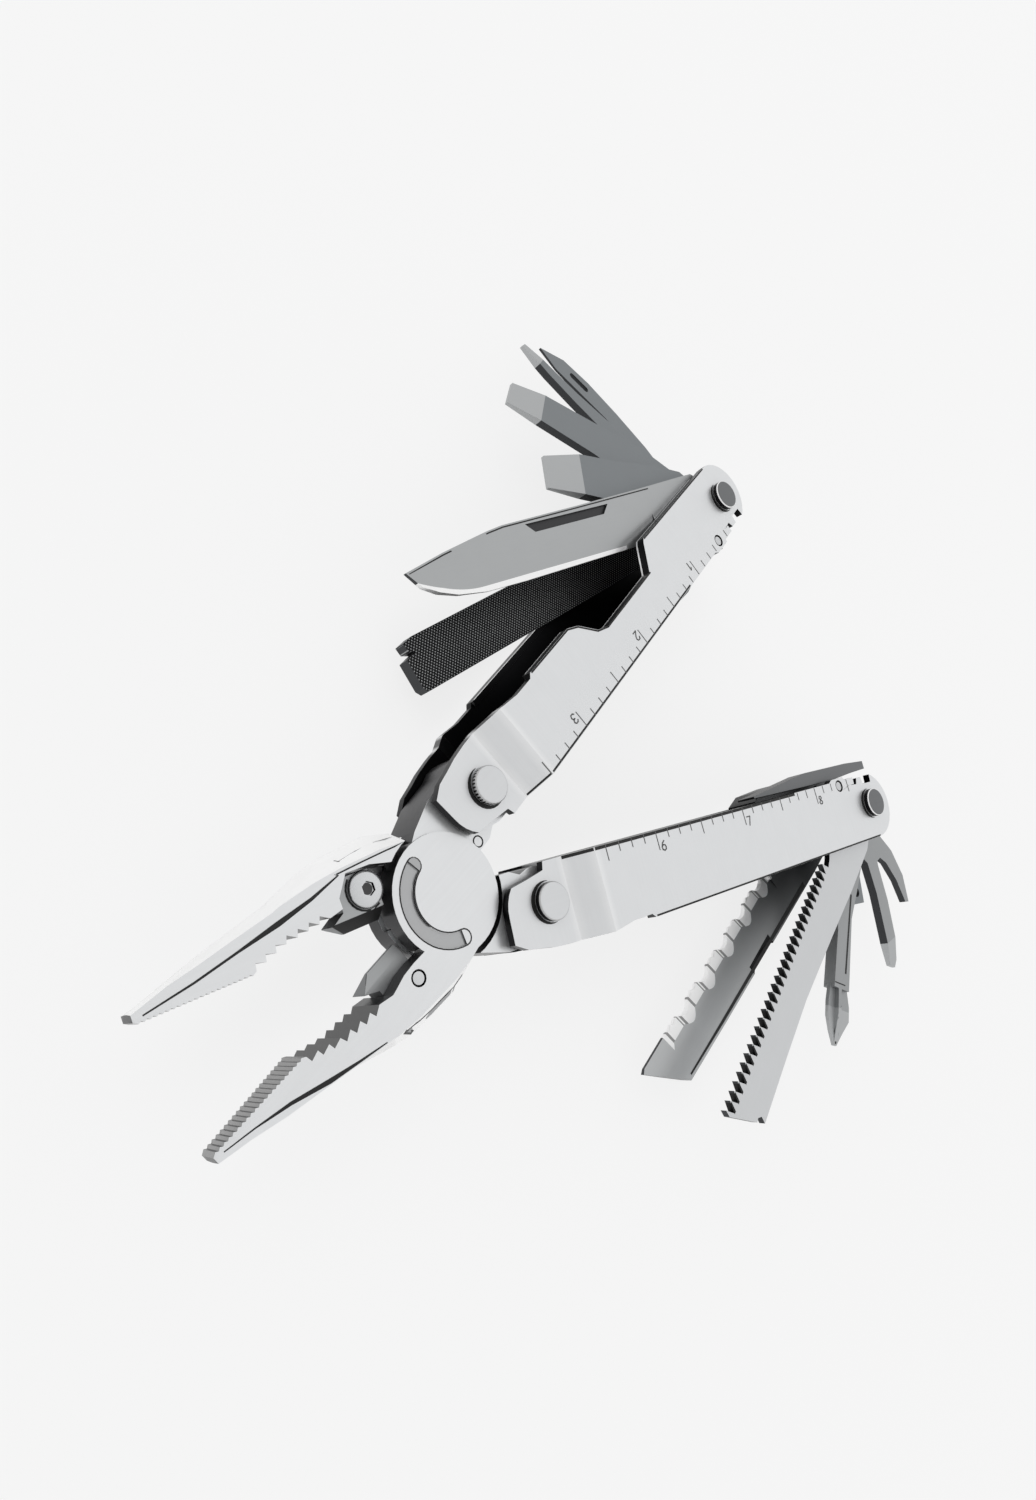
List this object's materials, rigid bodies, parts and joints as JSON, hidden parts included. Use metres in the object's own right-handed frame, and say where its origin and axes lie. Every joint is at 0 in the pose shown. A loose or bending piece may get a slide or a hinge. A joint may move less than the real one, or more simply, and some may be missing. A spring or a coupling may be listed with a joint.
{
  "type": "folding multi tool",
  "caption": "Folding pocket multi tool: a plier head between two folding steel handles, each with a fan of blades, drivers, an opener, a saw and a file on a pin at its end.",
  "frame": {"origin": "axis of the plier head's rivet, at the back face of the head", "axes": "+X along the head's centre line towards the handles, jaws along -X; +Z along every pivot axis, out of the face that carries the front disc; +Y towards the handle with the plain knife"},
  "size_m": [0.1715, 0.1608, 0.022],
  "materials": {
    "satin_steel": "satin, brushed along the handles",
    "jaw_steel": "fine satin, bright on the ground flats",
    "blasted_steel": "bead blasted, dull mid grey",
    "blade_steel": "fine satin with a bright ground edge",
    "file_steel": "dark, crosshatched on both faces"
  },
  "bodies": {
    "front_jaw": {"front_jaw": "jaw_steel", "front_cutter": "blasted_steel", "front_cutter_screw": "satin_steel", "pivot_rivet": "satin_steel"},
    "rear_jaw": {"rear_jaw": "jaw_steel", "rear_cutter": "blasted_steel", "rear_cutter_screw": "satin_steel"},
    "front_handle": {"front_handle": "satin_steel", "front_head_pin": "satin_steel", "front_tool_pin": "blasted_steel", "front_lock_pin": "satin_steel", "front_lock_spring": "satin_steel", "front_washer_1": "satin_steel", "front_washer_2": "satin_steel"},
    "front_lock_rocker": {"front_lock_rocker": "satin_steel"},
    "knife_blade": {"knife_blade": "blade_steel"},
    "large_screwdriver": {"large_screwdriver": "blasted_steel"},
    "medium_screwdriver": {"medium_screwdriver": "blasted_steel"},
    "small_screwdriver": {"small_screwdriver": "blasted_steel"},
    "awl": {"awl": "blasted_steel"},
    "file": {"file": "file_steel"},
    "rear_handle": {"rear_handle": "satin_steel", "rear_head_pin": "satin_steel", "rear_tool_pin": "blasted_steel", "rear_lock_pin": "satin_steel", "rear_lock_spring": "satin_steel", "rear_washer_1": "satin_steel", "rear_washer_2": "satin_steel", "rear_washer_3": "satin_steel"},
    "rear_lock_rocker": {"rear_lock_rocker": "satin_steel"},
    "serrated_blade": {"serrated_blade": "blade_steel"},
    "can_opener": {"can_opener": "blasted_steel"},
    "stubby_screwdriver": {"stubby_screwdriver": "blasted_steel"},
    "lanyard_eye": {"lanyard_eye": "blasted_steel"},
    "cross_screwdriver": {"cross_screwdriver": "blasted_steel"},
    "saw": {"saw": "blade_steel"}
  },
  "joints": [
    {"name": "jaw_pivot", "type": "hinge", "parent": "front_jaw", "child": "rear_jaw", "pos_m": [0, 0, 0.0043], "axis": [0, 0, -1], "range_deg": [-22.5, 0]},
    {"name": "front_handle_fold", "type": "hinge", "parent": "front_jaw", "child": "front_handle", "pos_m": [0.01485, 0.01103, 0.0043], "axis": [0, 0, -1], "range_deg": [-165, 0]},
    {"name": "front_lock_press", "type": "hinge", "parent": "front_handle", "child": "front_lock_rocker", "pos_m": [0.09788, 0.03004, 0.0043], "axis": [0, 0, -1], "range_deg": [0, 2]},
    {"name": "knife_blade_swing", "type": "hinge", "parent": "front_handle", "child": "knife_blade", "pos_m": [0.10618, 0.03826, 0.0043], "axis": [0, 0, -1], "range_deg": [-21.3, 158.7]},
    {"name": "large_screwdriver_swing", "type": "hinge", "parent": "front_handle", "child": "large_screwdriver", "pos_m": [0.10618, 0.03826, 0.0043], "axis": [0, 0, -1], "range_deg": [-41.6, 138.4]},
    {"name": "medium_screwdriver_swing", "type": "hinge", "parent": "front_handle", "child": "medium_screwdriver", "pos_m": [0.10618, 0.03826, 0.0043], "axis": [0, 0, -1], "range_deg": [-61.6, 118.4]},
    {"name": "small_screwdriver_swing", "type": "hinge", "parent": "front_handle", "child": "small_screwdriver", "pos_m": [0.10618, 0.03826, 0.0043], "axis": [0, 0, -1], "range_deg": [-82.5, 97.5]},
    {"name": "awl_swing", "type": "hinge", "parent": "front_handle", "child": "awl", "pos_m": [0.10618, 0.03826, 0.0043], "axis": [0, 0, -1], "range_deg": [-85, 95]},
    {"name": "file_swing", "type": "hinge", "parent": "front_handle", "child": "file", "pos_m": [0.10618, 0.03826, 0.0043], "axis": [0, 0, -1], "range_deg": [-13.1, 166.9]},
    {"name": "rear_handle_fold", "type": "hinge", "parent": "rear_jaw", "child": "rear_handle", "pos_m": [0.01532, -0.01037, 0.0043], "axis": [0, 0, 1], "range_deg": [-162, 0]},
    {"name": "rear_lock_press", "type": "hinge", "parent": "rear_handle", "child": "rear_lock_rocker", "pos_m": [0.09835, -0.02939, 0.0043], "axis": [0, 0, 1], "range_deg": [0, 2]},
    {"name": "serrated_blade_swing", "type": "hinge", "parent": "rear_handle", "child": "serrated_blade", "pos_m": [0.10665, -0.0376, 0.0043], "axis": [0, 0, 1], "range_deg": [-28.3, 151.7]},
    {"name": "can_opener_swing", "type": "hinge", "parent": "rear_handle", "child": "can_opener", "pos_m": [0.10665, -0.0376, 0.0043], "axis": [0, 0, 1], "range_deg": [-134.6, 45.4]},
    {"name": "stubby_screwdriver_swing", "type": "hinge", "parent": "rear_handle", "child": "stubby_screwdriver", "pos_m": [0.10665, -0.0376, 0.0043], "axis": [0, 0, 1], "range_deg": [-99, 81]},
    {"name": "lanyard_eye_swing", "type": "hinge", "parent": "rear_handle", "child": "lanyard_eye", "pos_m": [0.10665, -0.0376, 0.0043], "axis": [0, 0, 1], "range_deg": [-83.6, 96.4]},
    {"name": "cross_screwdriver_swing", "type": "hinge", "parent": "rear_handle", "child": "cross_screwdriver", "pos_m": [0.10665, -0.0376, 0.0043], "axis": [0, 0, 1], "range_deg": [-60, 120]},
    {"name": "saw_swing", "type": "hinge", "parent": "rear_handle", "child": "saw", "pos_m": [0.10665, -0.0376, 0.0043], "axis": [0, 0, 1], "range_deg": [-35.1, 144.9]}
  ]
}
